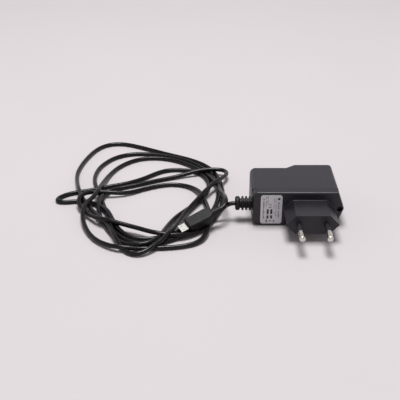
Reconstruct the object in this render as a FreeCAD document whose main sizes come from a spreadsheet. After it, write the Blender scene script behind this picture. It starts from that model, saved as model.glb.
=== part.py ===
"""Plug-in mains charger: two-part case with a round-pin plug stub, its electronics and its coiled cord.

Millimetres. +Z is up and the charger lies on its long narrow side. The pins point along -Y and the cord
leaves along -X. The origin is at the base, under the middle of the case and pins.
Places inside the case are given from its left end (x), its front face (y, towards the back) and its
underside (z); ORIGIN_X and ORIGIN_Y carry them to the part's own frame.
"""

import FreeCAD, Part
import math
import os
import re
import sys

import Sketcher

# ---------------------------------------------------------------- driving dimensions

SIZES = {
    # case
    "case_width": 59.0,  # left end to the root of the nose
    "nose_reach": 4.6,  # how far the V-shaped right end stands out
    "case_height": 26.0,
    "thin_depth": 40.5,  # front face to the back, on the left
    "deep_depth": 45.5,  # the same on the right, behind the plug
    "step_start": 25.8,  # where the back starts to slope out, from the left end
    "step_end": 32.4,
    "front_depth": 6.8,  # front shell, up to the parting line
    "wall": 2.0,
    "corner_radius": 4.0,
    "back_radius": 3.0,
    "front_radius": 1.2,
    "nose_radius": 1.5,
    "shoulder_radius": 2.5,  # where the top and bottom turn into the nose
    "draft_angle": 3.0,  # of the front shell's sides, in degrees
    "lip_depth": 2.0,
    "lip_wall": 1.0,
    "fit_gap": 0.1,  # clearance between moulded pieces
    # plug stub
    "stub_length": 22.0,
    "stub_width": 35.3,
    "stub_flat": 22.8,
    "stub_height": 13.7,
    "stub_middle": 39.2,  # from the left end
    "stub_wall": 1.8,
    "stub_face": 3.0,  # thickness of the stub's front wall
    "root_radius": 0.7,
    # plug pins
    "pin_radius": 2.0,
    "pin_length": 19.0,
    "pin_bare": 9.0,
    "pin_half_pitch": 9.3,  # half the distance between the pins at the stub's face
    "pin_lean": 1.0,  # towards each other, in degrees
    "pin_core": 1.5,
    "pin_tip": 1.1,
    "pin_inside": 7.0,
    "collar_radius": 2.6,
    "sleeve_radius": 1.8,
    "retainer_thick": 2.4,
    # rating label
    "label_width": 14.8,
    "label_height": 22.2,
    "label_left": 5.7,
    "label_base": 1.7,
    "label_thick": 0.15,
    "label_corner": 1.8,
    # case screw, in the nose
    "screw_inset": 3.4,  # screw axis to the nose's tip
    "recess_radius": 1.9,
    "recess_depth": 3.4,
    "boss_radius": 3.0,
    "boss_depth": 14.0,
    "screw_head": 1.75,
    "screw_radius": 1.1,
    "screw_length": 13.0,
    "head_thick": 1.3,
    "slot_depth": 0.8,
    "slot_length": 2.4,
    "slot_width": 0.5,
    # strain relief
    "relief_length": 11.5,
    "relief_radius": 4.95,
    "relief_core": 3.4,
    "relief_behind": 8.8,  # its axis, behind the front face
    "relief_collar": 3.3,
    "collar_edge": 1.3,
    "rib_edge": 0.4,
    "rib_width": 1.35,
    "rib_gap": 1.2,
    "neck_radius": 2.8,
    "flange_radius": 4.2,
    "flange_thick": 1.5,
    # cord and its small plug
    "cord_radius": 1.6,
    "coil_rise": 9.0,
    "grip_length": 20.0,
    "grip_width": 10.6,
    "grip_thick": 7.0,
    "grip_taper": 0.5,  # how much narrower each side is at the shell
    "grip_shoulder": 4.0,
    "grip_edge": 1.3,
    "grip_neck": 6.5,
    "grip_neck_radius": 2.9,
    "grip_neck_end": 2.3,
    "shell_reach": 5.5,
    "shell_width": 6.85,
    "shell_thick": 1.8,
    "shell_sheet": 0.25,
    "shell_corner_in": 0.8,  # the cut lower corners of its mouth
    "shell_corner_up": 0.6,
    "shell_hidden": 3.0,  # its length inside the grip
    "tongue_gap": 0.8,
    "tongue_thick": 0.55,
    "contact_pitch": 0.65,
    "contact_width": 0.35,
    "contact_thick": 0.12,
    "latch_at": 1.4,
    "latch_length": 1.6,
    "latch_width": 0.5,
    "latch_height": 0.3,
    "latch_offset": 1.9,
    # circuit board
    "board_side_gap": 2.4,
    "board_front": 9.6,  # behind the front face
    "board_back_gap": 0.9,
    "board_base": 5.0,  # its underside above the case's underside
    "board_thick": 1.6,
    "ledge_width": 1.6,
    # parts on the board
    "core_width": 16.0,
    "core_length": 14.4,
    "core_thick": 4.8,
    "core_bar": 2.4,
    "core_leg": 2.2,
    "core_centre_leg": 4.0,
    "bobbin_height": 12.0,
    "bobbin_rail": 2.0,
    "rail_width": 2.4,
    "bobbin_flange": 0.9,
    "winding_wall": 2.6,
    "tape_thick": 0.3,
    "capacitor_radius": 4.0,
    "capacitor_height": 12.5,
    "lead_radius": 0.35,
    "wire_radius": 0.6,
}

doc = FreeCAD.newDocument("charger")
sheet = doc.addObject("Spreadsheet::Sheet", "Sizes")
for row, (alias, size) in enumerate(SIZES.items(), start=1):
    sheet.set(f"A{row}", alias)
    sheet.set(f"B{row}", str(size))
    sheet.setAlias(f"B{row}", alias)
doc.recompute()

ORIGIN_X = "(0 - (case_width + nose_reach) / 2)"
ORIGIN_Y = "(0 - (deep_depth - stub_length - pin_length) / 2)"
MIDDLE = "case_height / 2"
NODES = {}


def bound(expression):
    """The expression with each size's alias written as a reference to the sheet."""
    def reference(match):
        word = match.group()
        return f"Sizes.{word}" if word in SIZES else word
    return re.sub(r"[a-z_]+", reference, expression)


def amount(expression):
    """The expression's value now, as a plain number."""
    return float(sheet.evalExpression(bound(expression)))


def bind(thing, **expressions):
    """Bind properties of an object to the sheet; a double underscore stands for a dot."""
    for name, expression in expressions.items():
        thing.setExpression(name.replace("__", "."), bound(expression))


def place(thing, x, y, z, rotation=None):
    """Put an object at a point given from the case's left end, front face and underside."""
    thing.Placement = FreeCAD.Placement(FreeCAD.Vector(), rotation or FreeCAD.Rotation())
    bind(thing, Placement__Base__x=f"{ORIGIN_X} + {x}", Placement__Base__y=f"{ORIGIN_Y} + {y}",
         Placement__Base__z=z)


def node(thing, label):
    """Name an object as one of the charger's pieces."""
    thing.Label = label
    NODES[label] = thing
    return thing


UPRIGHT = FreeCAD.Rotation(FreeCAD.Vector(0, 1, 0), -90)  # turns a piece's own +X to +Z
REARWARD = FreeCAD.Rotation(FreeCAD.Vector(0, 0, 1), 90)  # turns a piece's own +X to +Y

# ---------------------------------------------------------------- ways of making a piece


def body(name):
    return doc.addObject("PartDesign::Body", name)


def sketch_on(owner, plane):
    made = owner.newObject("Sketcher::SketchObject", f"{owner.Name}_sketch")
    planes = [feature for feature in owner.Origin.OriginFeatures if feature.Role == plane]
    made.AttachmentSupport = [(planes[0], "")]
    made.MapMode = "FlatFace"
    return made


def fix_point(sketch, edge, end, x, y):
    """Hold one end of a sketch edge at a point given by two expressions."""
    for kind, expression in (("DistanceX", x), ("DistanceY", y)):
        index = sketch.addConstraint(Sketcher.Constraint(kind, -1, 1, edge, end, amount(expression)))
        sketch.setExpression(f"Constraints[{index}]", bound(expression))


def draw_polygon(sketch, points):
    first = sketch.GeometryCount
    corners = [FreeCAD.Vector(amount(x), amount(y), 0) for x, y in points]
    count = len(points)
    for i in range(count):
        sketch.addGeometry(Part.LineSegment(corners[i], corners[(i + 1) % count]), False)
    for i in range(count):
        sketch.addConstraint(Sketcher.Constraint("Coincident", first + i, 2, first + (i + 1) % count, 1))
        fix_point(sketch, first + i, 1, *points[i])


def draw_circle(sketch, x, y, radius):
    centre = FreeCAD.Vector(amount(x), amount(y), 0)
    circle = sketch.addGeometry(Part.Circle(centre, FreeCAD.Vector(0, 0, 1), amount(radius)), False)
    fix_point(sketch, circle, 3, x, y)
    index = sketch.addConstraint(Sketcher.Constraint("Radius", circle, amount(radius)))
    sketch.setExpression(f"Constraints[{index}]", bound(radius))


def feature(owner, kind, sketch, length, towards_normal=True, start="0"):
    """A Pad or a Pocket of a sketch; start moves the sketch along its normal first."""
    sketch.setExpression("AttachmentOffset.Base.z", bound(start))
    doc.recompute()
    before = owner.Shape.Volume if owner.Tip else 0.0
    made = owner.newObject(f"PartDesign::{kind}", f"{owner.Name}_{kind.lower()}")
    made.Profile = sketch
    made.Reversed = towards_normal != (kind == "Pad")
    bind(made, Length=length)
    doc.recompute()
    grown = owner.Shape.Volume - before
    if (grown > 0) != (kind == "Pad"):
        sys.exit(f"{made.Name} changed the volume by {grown:.3f}")
    return made


def pad(owner, plane, points, length, towards_normal=True, start="0"):
    sketch = sketch_on(owner, plane)
    draw_polygon(sketch, points)
    return feature(owner, "Pad", sketch, length, towards_normal, start)


def pocket(owner, plane, points, length, towards_normal=True, start="0"):
    sketch = sketch_on(owner, plane)
    draw_polygon(sketch, points)
    return feature(owner, "Pocket", sketch, length, towards_normal, start)


def round_feature(owner, kind, plane, x, y, radius, length, towards_normal=True, start="0"):
    sketch = sketch_on(owner, plane)
    draw_circle(sketch, x, y, radius)
    return feature(owner, kind, sketch, length, towards_normal, start)


def fillet(owner, radius, wanted):
    """Round the edges of the body's last feature for which wanted(edge) is true."""
    doc.recompute()
    base = owner.Tip
    names = [f"Edge{i}" for i, edge in enumerate(base.Shape.Edges, start=1) if wanted(edge)]
    if not names:
        sys.exit(f"{owner.Name}: no edge to round")
    made = owner.newObject("PartDesign::Fillet", f"{owner.Name}_fillet")
    made.Base = (base, names)
    bind(made, Radius=radius)
    doc.recompute()
    return made


def runs_along(edge, direction):
    """True for a straight edge parallel to the direction."""
    if not isinstance(edge.Curve, Part.Line):
        return False
    return abs(abs(edge.Curve.Direction.dot(direction)) - 1.0) < 0.002


def turned(name, profile, rounded=None, radius="0"):
    """A body turned about its own X axis from (distance along the axis, radius) points."""
    made = body(name)
    sketch = sketch_on(made, "XY_Plane")
    draw_polygon(sketch, profile)
    doc.recompute()
    turn = made.newObject("PartDesign::Revolution", f"{name}_turn")
    turn.Profile = sketch
    turn.ReferenceAxis = (sketch, ["H_Axis"])
    turn.Angle = 360
    doc.recompute()
    if rounded:
        fillet(made, radius, rounded)
    return made


def block(name, length, width, height):
    made = doc.addObject("Part::Box", name)
    bind(made, Length=length, Width=width, Height=height)
    return made


def cylinder(name, radius, height):
    made = doc.addObject("Part::Cylinder", name)
    bind(made, Radius=radius, Height=height)
    return made


def fused(name, *things):
    made = doc.addObject("Part::MultiFuse", name)
    made.Shapes = list(things)
    made.Refine = True
    return made


def cut(name, base, *tools):
    tool = tools[0] if len(tools) == 1 else fused(f"{name}_tools", *tools)
    made = doc.addObject("Part::Cut", name)
    made.Base = base
    made.Tool = tool
    return made


def grouped(name, *things):
    made = doc.addObject("Part::Compound", name)
    made.Links = list(things)
    return made


ALONG_X = FreeCAD.Vector(1, 0, 0)
ALONG_Y = FreeCAD.Vector(0, 1, 0)
ALONG_Z = FreeCAD.Vector(0, 0, 1)

# ---------------------------------------------------------------- case


CORNER_CUT = 0.6  # a straight cut this much of the rounding keeps the wall's thickness at a corner


def case_outline(inset):
    """The case's front outline, moved inwards by the inset; inner ones have their left corners cut."""
    slope = "(sqrt(nose_reach ^ 2 + (case_height / 2) ^ 2) / (case_height / 2))"
    right = f"case_width + ({inset}) * (nose_reach / (case_height / 2) - {slope})"
    tip = f"case_width + nose_reach - ({inset}) * {slope}"
    low, high = inset, f"case_height - ({inset})"
    right_side = [(right, low), (tip, MIDDLE), (right, high)]
    if inset == "0":
        return [("0", low)] + right_side + [("0", high)]
    corner = f"({inset} + {CORNER_CUT} * (corner_radius - ({inset})))"
    high_corner = f"case_height - {corner}"
    return [(corner, low)] + right_side + [(corner, high), (inset, high_corner), (inset, corner)]


SCREW_X = "case_width + nose_reach - screw_inset"


def neck_hole(name):
    """The round hole that the strain relief's neck passes through, across the parting line."""
    hole = cylinder(name, "neck_radius + fit_gap", "wall * 3")
    place(hole, "0 - wall", "relief_behind", MIDDLE, FreeCAD.Rotation(ALONG_Y, 90))
    return hole


def at_left_corner(edge):
    middle = edge.CenterOfMass
    return runs_along(edge, ALONG_Y) and middle.x < 0.5


def make_rear_shell():
    """Deep rear shell: sloping step in its back, lip recess, board ledges and the screw's boss."""
    shell = body("rear_shell_body")
    pad(shell, "XZ_Plane", case_outline("0"), "deep_depth - front_depth", towards_normal=False)
    thin, deep = "thin_depth - front_depth", "deep_depth - front_depth"
    behind = f"{deep} + wall"
    step = [("0 - wall", thin), ("step_start", thin), ("step_end", deep), ("step_end", behind),
            ("0 - wall", behind)]
    pocket(shell, "XY_Plane", step, "case_height + wall", towards_normal=True, start="0 - wall / 2")
    depth_left = amount(thin)
    fillet(shell, "corner_radius", lambda edge: (runs_along(edge, ALONG_Y) or runs_along(edge, ALONG_Z))
           and edge.CenterOfMass.x < 0.1)
    nose_tip = amount("case_width + nose_reach") - 0.1
    fillet(shell, "nose_radius", lambda edge: runs_along(edge, ALONG_Y) and edge.CenterOfMass.x > nose_tip)
    nose_root = amount("case_width")
    fillet(shell, "shoulder_radius", lambda edge: runs_along(edge, ALONG_Y)
           and abs(edge.CenterOfMass.x - nose_root) < 0.1)
    fillet(shell, "back_radius", lambda edge: edge.CenterOfMass.y > depth_left - 0.01
           and not runs_along(edge, ALONG_Z))
    pocket(shell, "XZ_Plane", case_outline("wall"), "thin_depth - front_depth - wall", towards_normal=False)
    room_left = "step_end + wall"
    right_room = [(room_left, "wall"), *case_outline("wall")[1:4], (room_left, "case_height - wall")]
    pocket(shell, "XZ_Plane", right_room, "deep_depth - front_depth - wall", towards_normal=False)
    round_feature(shell, "Pad", "XZ_Plane", SCREW_X, MIDDLE, "boss_radius", "boss_depth",
                  towards_normal=False)
    pocket(shell, "XZ_Plane", case_outline("wall - lip_wall"), "lip_depth", towards_normal=False)
    round_feature(shell, "Pad", "XZ_Plane", SCREW_X, MIDDLE, "boss_radius", "lip_depth + fit_gap",
                  towards_normal=False)
    round_feature(shell, "Pocket", "XZ_Plane", SCREW_X, MIDDLE, "screw_radius", "boss_depth - wall",
                  towards_normal=False)
    for left in ("wall + board_side_gap", "case_width - wall - board_side_gap - ledge_width"):
        ledge = [(left, "wall / 2"), (f"{left} + ledge_width", "wall / 2"),
                 (f"{left} + ledge_width", "board_base"), (left, "board_base")]
        pad(shell, "XZ_Plane", ledge, "thin_depth - wall / 2 - board_front", towards_normal=False,
            start="front_depth - board_front")
    place(shell, "0", "front_depth", "0")
    node(cut("rear_shell", shell, neck_hole("rear_neck_hole")), "rear_shell")


# how far the inset moves the stub's upper corners and its side points, for each millimetre of it
FLAT_SHARE = 0.6
SIDE_SHARE = 1.35


def hexagon(inset):
    """The stub's outline, moved inwards by the inset."""
    half_flat = f"(stub_flat / 2 - ({inset}) * {FLAT_SHARE})"
    half_width = f"(stub_width / 2 - ({inset}) * {SIDE_SHARE})"
    half_height = f"(stub_height / 2 - ({inset}))"
    ring = [(-1, half_width, 0), (-1, half_flat, -1), (1, half_flat, -1),
            (1, half_width, 0), (1, half_flat, 1), (-1, half_flat, 1)]
    return [(f"stub_middle + {side} * {reach}", f"{MIDDLE} + {up} * {half_height}")
            for side, reach, up in ring]


def along_pin(side, name, radius, start, length):
    """A cylinder on one pin's axis; start and length run forwards from the stub's face."""
    made = cylinder(name, radius, length)
    lean = FreeCAD.Rotation(ALONG_Z, side * amount("pin_lean"))
    lean_tangent = "tan(pin_lean * 1 deg)"
    turn = lean.multiply(FreeCAD.Rotation(ALONG_X, 90))
    place(made, f"stub_middle - {side} * (pin_half_pitch - ({start}) * {lean_tangent})",
          f"0 - stub_length - ({start})", MIDDLE, turn)
    return made


def make_front_shell():
    """Shallow front shell with the hollow plug stub, its lip, the screw's recess and the pin holes."""
    shell = body("front_shell_body")
    front = pad(shell, "XZ_Plane", case_outline("0"), "front_depth")
    bind(front, TaperAngle="0 - draft_angle")
    fillet(shell, "corner_radius", lambda edge: edge.CenterOfMass.x < 0.5
           and edge.BoundBox.YLength > amount("front_depth") / 2)
    nose_tip = amount("case_width + nose_reach - 0.5")
    fillet(shell, "nose_radius", lambda edge: edge.CenterOfMass.x > nose_tip
           and edge.BoundBox.YLength > amount("front_depth") / 2)
    front_face = -amount("front_depth") + 0.01
    fillet(shell, "front_radius", lambda edge: edge.BoundBox.YMax < front_face)
    pocket(shell, "XZ_Plane", case_outline("wall"), "front_depth - wall")
    pad(shell, "XZ_Plane", hexagon("0"), "stub_length + wall", start="front_depth - wall")
    fillet(shell, "root_radius", lambda edge: abs(edge.BoundBox.YMax - front_face) < 0.05
           and abs(edge.BoundBox.YMin - front_face) < 0.05 and runs_on_stub(edge))
    pocket(shell, "XZ_Plane", hexagon("stub_wall"), "front_depth + stub_length - stub_face")
    round_feature(shell, "Pad", "XZ_Plane", SCREW_X, MIDDLE, "boss_radius", "front_depth - wall / 2")
    lip = sketch_on(shell, "XZ_Plane")
    draw_polygon(lip, case_outline("wall - lip_wall + fit_gap"))
    draw_polygon(lip, case_outline("wall"))
    feature(shell, "Pad", lip, "lip_depth + wall / 2", towards_normal=False, start="wall / 2")
    round_feature(shell, "Pocket", "XZ_Plane", SCREW_X, MIDDLE, "boss_radius + fit_gap",
                  "lip_depth * 2", towards_normal=False)
    round_feature(shell, "Pocket", "XZ_Plane", SCREW_X, MIDDLE, "screw_radius + fit_gap", "front_depth * 2",
                  start="0 - lip_depth")
    round_feature(shell, "Pocket", "XZ_Plane", SCREW_X, MIDDLE, "recess_radius", "recess_depth + wall",
                  start="front_depth - recess_depth")
    place(shell, "0", "front_depth", "0")
    holes = [along_pin(side, f"pin_hole_{i}", "sleeve_radius + fit_gap", "0 - stub_face * 2",
                       "stub_face * 3")
             for i, side in enumerate((-1, 1))]
    node(cut("front_shell", shell, neck_hole("front_neck_hole"), *holes), "front_shell")


def runs_on_stub(edge):
    """True for an edge on the stub's outline, where it meets the case's front face."""
    middle = edge.CenterOfMass
    across = abs(middle.x - amount("stub_middle"))
    upwards = abs(middle.z - amount(MIDDLE))
    return across < amount("stub_width / 2") + 0.1 and upwards < amount("stub_height / 2") + 0.1


def make_rating_label():
    label = body("rating_label_body")
    right, top = "label_width", "label_height"
    pad(label, "XZ_Plane", [("0", "0"), (right, "0"), (right, top), ("0", top)], "label_thick")
    fillet(label, "label_corner", lambda edge: runs_along(edge, ALONG_Y))
    place(label, "label_left", "0", "label_base")
    node(label, "rating_label")


def make_case_screw():
    """Pan-head screw; its head stands on the floor of the recess in the nose."""
    head, shank = "screw_head", "screw_radius - fit_gap / 10"
    profile = [("0", "0"), ("0", head), ("head_thick", head), ("head_thick", shank),
               ("screw_length", shank), ("screw_length + screw_radius", "fit_gap"),
               ("screw_length + screw_radius", "0")]
    blank = turned("case_screw_blank", profile, lambda edge: edge.BoundBox.XMax < 0.01, "head_thick * 0.4")
    slots = []
    corner = FreeCAD.Vector(0, -amount("slot_length / 2"), -amount("slot_width / 2"))
    for i in range(2):
        slot = block(f"cross_slot_{i}", "slot_depth", "slot_length", "slot_width")
        turn = FreeCAD.Rotation(ALONG_X, 90 * i)
        slot.Placement = FreeCAD.Placement(turn.multVec(corner), turn)
        slots.append(slot)
    screw = cut("case_screw", blank, *slots)
    place(screw, SCREW_X, "recess_depth - head_thick", MIDDLE, REARWARD)
    node(screw, "case_screw")


make_rear_shell()
make_front_shell()
make_rating_label()
make_case_screw()

# ---------------------------------------------------------------- plug pins


def make_pin(side, label):
    """One pin: bare rounded tip, thin core in the sleeve, and a collar behind the retainer."""
    inner = "0 - pin_inside"
    collar = "0 - stub_face - retainer_thick - fit_gap"
    bare = "pin_length - pin_bare"
    profile = [(inner, "0"), (inner, "pin_core"), (f"{collar} - 1", "pin_core"),
               (f"{collar} - 1", "collar_radius"), (collar, "collar_radius"), (collar, "pin_core"),
               (bare, "pin_core"), (bare, "pin_radius"), ("pin_length", "pin_radius"), ("pin_length", "0")]
    tip = amount("pin_length") - 0.01
    pin = turned(f"{label}_body", profile, lambda edge: edge.BoundBox.XMin > tip, "pin_tip")
    forward = FreeCAD.Rotation(ALONG_Z, -90 + side * amount("pin_lean"))
    place(pin, f"stub_middle - {side} * pin_half_pitch", "0 - stub_length", MIDDLE, forward)
    node(pin, label)
    tube = along_pin(side, f"{label}_sleeve_outside", "sleeve_radius", "fit_gap - stub_face",
                     f"stub_face + {bare} - fit_gap * 1.5")
    bore = along_pin(side, f"{label}_sleeve_bore", "pin_core + fit_gap / 4", "0 - stub_face * 2",
                     "pin_length * 2")
    node(cut(f"{label}_sleeve", tube, bore), f"{label}_sleeve")


def make_pin_retainer():
    """Moulded plate behind the stub's front wall, with a hole for each pin."""
    plate = body("pin_retainer_body")
    pad(plate, "XZ_Plane", hexagon("stub_wall + fit_gap"), "retainer_thick")
    place(plate, "0", "0 - stub_length + stub_face + retainer_thick", "0")
    holes = [along_pin(side, f"retainer_hole_{i}", "pin_core + fit_gap", "0 - stub_face * 3",
                       "stub_face * 4")
             for i, side in enumerate((-1, 1))]
    node(cut("pin_retainer", plate, *holes), "pin_retainer")


make_pin(1, "live_pin")
make_pin(-1, "neutral_pin")
make_pin_retainer()

# ---------------------------------------------------------------- strain relief


def make_strain_relief():
    """Moulded on the cord: thick end collar, thinner ribs, neck through the wall and inner flange."""
    outside = "relief_radius"
    profile = [("0", "0"), ("0", outside), ("relief_collar", outside), ("relief_collar", "relief_core")]
    for i in range(3):
        left = f"relief_collar + rib_gap + {i} * (rib_width + rib_gap)"
        profile += [(left, "relief_core"), (left, outside), (f"{left} + rib_width", outside),
                    (f"{left} + rib_width", "relief_core")]
    inner_wall = "relief_length + wall + fit_gap"
    profile += [("relief_length - fit_gap", "relief_core"), ("relief_length - fit_gap", "neck_radius"),
                (inner_wall, "neck_radius"), (inner_wall, "flange_radius"),
                (f"{inner_wall} + flange_thick", "flange_radius"), (f"{inner_wall} + flange_thick", "0")]
    rim = amount("relief_radius") - 0.01
    collar_end = amount("relief_collar") + 0.01
    relief = turned("strain_relief_body", profile,
                    lambda edge: edge.BoundBox.ZMax > rim and edge.BoundBox.XMax < collar_end, "collar_edge")
    fillet(relief, "rib_edge", lambda edge: edge.BoundBox.ZMax > rim and edge.BoundBox.XMin > collar_end)
    place(relief, "0 - relief_length", "relief_behind", MIDDLE)
    node(relief, "strain_relief")


make_strain_relief()

# ---------------------------------------------------------------- round wires and cords


def tube_along(points, radius, name):
    """A round tube of straight runs joined by arcs as large as each pair of runs allows."""
    points = [FreeCAD.Vector(*point) for point in points]
    edges, radii = [], []
    start = points[0]
    for before, corner, after in zip(points, points[1:], points[2:]):
        back, ahead = (before - corner), (after - corner)
        reach = 0.45 * min(back.Length, ahead.Length)
        back.normalize()
        ahead.normalize()
        half_turn = (math.pi - back.getAngle(ahead)) / 2
        radii.append(reach / math.tan(half_turn))
        bisector = (back + ahead).normalize()
        centre = corner + bisector * (reach / math.sin(half_turn))
        middle = centre - bisector * radii[-1]
        entry, leave = corner + back * reach, corner + ahead * reach
        edges.append(Part.LineSegment(start, entry).toShape())
        edges.append(Part.Arc(entry, middle, leave).toShape())
        start = leave
    edges.append(Part.LineSegment(start, points[-1]).toShape())
    path = Part.Wire(edges)
    section = Part.Wire(Part.makeCircle(radius, points[0], points[1] - points[0]))
    tube = path.makePipeShell([section], True, True)
    expected = math.pi * radius ** 2 * path.Length
    if abs(tube.Volume / expected - 1) > 0.01:
        sys.exit(f"{name}: volume {tube.Volume:.1f} is not {expected:.1f}")
    print(f"{name}: length {path.Length:.1f}, radii", " ".join(f"{value:.1f}" for value in radii))
    return tube


def in_case(x, y, z):
    """A point inside the case, in the part's own frame."""
    return (amount(f"{ORIGIN_X} + {x}"), amount(f"{ORIGIN_Y} + {y}"), amount(z))


def wires(label, routes):
    """Thin wires, each along its own route inside the case, as one node."""
    shapes = [tube_along([in_case(*point) for point in route], amount("wire_radius"), f"{label} {i}")
              for i, route in enumerate(routes, start=1)]
    made = doc.addObject("Part::Feature", label)
    made.Shape = Part.makeCompound(shapes)
    node(made, label)


# ---------------------------------------------------------------- circuit board and its parts

BOARD_LEFT = "(wall + board_side_gap)"
BOARD_LENGTH = "(case_width - 2 * wall - 2 * board_side_gap)"
BOARD_WIDTH = "(thin_depth - wall - board_back_gap - board_front)"
BOARD_TOP = "(board_base + board_thick)"


def on_board(thing, x, y, above="0", rotation=None):
    """Put a piece on the board, at a place given from the board's left front corner."""
    place(thing, f"{BOARD_LEFT} + {x}", f"board_front + {y}", f"{BOARD_TOP} + {above}", rotation)
    return thing


def make_circuit_board():
    board = body("circuit_board_body")
    corners = [("0", "0"), (BOARD_LENGTH, "0"), (BOARD_LENGTH, BOARD_WIDTH), ("0", BOARD_WIDTH)]
    pad(board, "XY_Plane", corners, "board_thick")
    fillet(board, "1", lambda edge: runs_along(edge, ALONG_Z))
    place(board, BOARD_LEFT, "board_front", "board_base")
    node(board, "circuit_board")


def axial(name, x, y, body_radius, body_length, span, along_y=True):
    """A part with a round body and a bent lead at each end, standing just above the board."""
    lift = f"{body_radius} + 0.4"
    turn = FreeCAD.Rotation(ALONG_X, -90) if along_y else FreeCAD.Rotation(ALONG_Y, 90)
    pieces = []
    for part, radius, length in (("body", body_radius, body_length), ("lead", "lead_radius", span)):
        rod = cylinder(f"{name}_{part}", radius, length)
        back = f"0 - ({length}) / 2"
        offset = (x, f"{y} + {back}") if along_y else (f"{x} + {back}", y)
        pieces.append(on_board(rod, offset[0], offset[1], lift, turn))
    for side in (-1, 1):
        leg = cylinder(f"{name}_leg", "lead_radius", f"{lift} + lead_radius")
        shift = f"{side} * ({span} / 2 - lead_radius)"
        offset = (x, f"{y} + {shift}") if along_y else (f"{x} + {shift}", y)
        pieces.append(on_board(leg, offset[0], offset[1]))
    return fused(name, *pieces)


def can(name, x, y, radius="capacitor_radius", height="capacitor_height"):
    """An upright electrolytic capacitor: rolled neck near its base and a rounded rim."""
    profile = [("0", "0"), ("0", radius), ("1.1", radius), ("1.4", f"{radius} - 0.3"), ("1.7", radius),
               (height, radius), (height, "0")]
    made = turned(name, profile, lambda edge: edge.BoundBox.XMin > amount(height) - 0.01, "0.5")
    return on_board(made, x, y, rotation=UPRIGHT)


def drum(label, x, y, radius, height):
    """An upright drum-core coil: two ferrite flanges and a waist of wire."""
    waist = f"{radius} - 0.5"
    profile = [("0", "0"), ("0", radius), ("0.8", radius), ("0.8", waist), (f"{height} - 0.8", waist),
               (f"{height} - 0.8", radius), (height, radius), (height, "0")]
    node(on_board(turned(f"{label}_body", profile), x, y, rotation=UPRIGHT), label)


def disc(label, x, y, radius, thickness):
    """A ceramic disc standing on two short legs."""
    lens = turned(f"{label}_lens", [("0", "0"), ("0", radius), (thickness, radius), (thickness, "0")],
                  lambda edge: True, f"{thickness} / 3")
    on_board(lens, x, f"{y} - {thickness} / 2", f"{radius} + 1", REARWARD)
    legs = [on_board(cylinder(f"{label}_leg_{i}", "lead_radius", "2"), f"{x} + {side} * {radius} / 2", y)
            for i, side in enumerate((-1, 1))]
    node(fused(label, lens, *legs), label)


def chip(label, x, y, length, width, height, legs, under=False):
    """A moulded chip with a row of legs along each long side."""
    pieces = []
    lift = f"0 - board_thick - 0.2 - {height}" if under else "0.6"
    case = block(f"{label}_case", length, width, height)
    pieces.append(on_board(case, f"{x} - {length} / 2", f"{y} - {width} / 2", lift))
    leg_height = f"0.2 + {height} / 2" if under else f"0.6 + {height} / 2"
    leg_base = f"0 - board_thick - ({leg_height})" if under else "0"
    for side in (-1, 1):
        for i in range(legs):
            leg = block(f"{label}_leg", "0.5", "0.8", leg_height)
            across = f"{x} + ({i} - ({legs} - 1) / 2) * 1.27 * {1 if under else 2} - 0.25"
            pieces.append(on_board(leg, across, f"{y} + {side} * {width} / 2 - 0.4", leg_base))
    node(fused(label, *pieces), label)


def make_transformer(x, y):
    """Small E-core transformer lying down: bobbin on two rails, winding, tape and two core halves."""
    centre = "bobbin_rail + bobbin_height / 2"
    hole_width, hole_height = "(core_centre_leg + 0.2)", "(core_thick + 0.2)"
    tube_width, tube_height = f"({hole_width} + 1.4)", f"({hole_height} + 1.4)"
    window = "(core_length - 2 * core_bar)"
    flange_width = "(core_width - 2 * core_leg - 0.6)"
    room = f"({window} - 0.4)"

    def slab(name, length, width, height, forward="0", middle=centre, across="0"):
        made = block(name, length, width, height)
        return on_board(made, f"{x} + {across} - ({length}) / 2", f"{y} + {forward} - ({width}) / 2",
                        f"{middle} - ({height}) / 2")

    flange_at = f"({room} / 2 - bobbin_flange / 2)"
    rail_at = f"({room} / 2 - rail_width / 2)"
    solid = [slab("bobbin_tube", tube_width, room, tube_height)]
    for side in (-1, 1):
        solid.append(slab(f"bobbin_flange_{side + 1}", flange_width, "bobbin_flange", "bobbin_height",
                          f"{side} * {flange_at}"))
        solid.append(slab(f"bobbin_rail_{side + 1}", flange_width, "rail_width", "bobbin_rail",
                          f"{side} * {rail_at}", "bobbin_rail / 2"))
    bobbin = cut("transformer_bobbin", fused("bobbin_solid", *solid),
                 slab("bobbin_hole", hole_width, f"{room} * 2", hole_height))
    node(bobbin, "transformer_bobbin")

    coil_length = f"({room} - 2 * bobbin_flange - 0.1)"

    def ring(name, inner_grow, thickness):
        inner = (f"({tube_width} + 2 * ({inner_grow}))", f"({tube_height} + 2 * ({inner_grow}))")
        outer = [f"({side} + 2 * ({thickness}))" for side in inner]
        made = cut(name, slab(f"{name}_outside", outer[0], coil_length, outer[1]),
                   slab(f"{name}_inside", inner[0], f"{coil_length} * 2", inner[1]))
        node(made, name)

    ring("transformer_winding", "0.02", "winding_wall - tape_thick")
    ring("transformer_tape", "winding_wall - tape_thick + 0.04", "tape_thick")

    for side, label in ((-1, "transformer_core_front"), (1, "transformer_core_rear")):
        leg_long = "(core_length / 2 - 0.02)"
        bar = slab(f"{label}_bar", "core_width", "core_bar", "core_thick",
                   f"{side} * (core_length / 2 - core_bar / 2)")
        leg_at = f"{side} * (core_length / 4 + 0.01)"
        legs = [slab(f"{label}_centre", "core_centre_leg", leg_long, "core_thick", leg_at)]
        for edge in (-1, 1):
            legs.append(slab(f"{label}_leg_{edge + 1}", "core_leg", leg_long, "core_thick", leg_at,
                             across=f"{edge} * (core_width - core_leg) / 2"))
        node(fused(label, bar, *legs), label)


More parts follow.
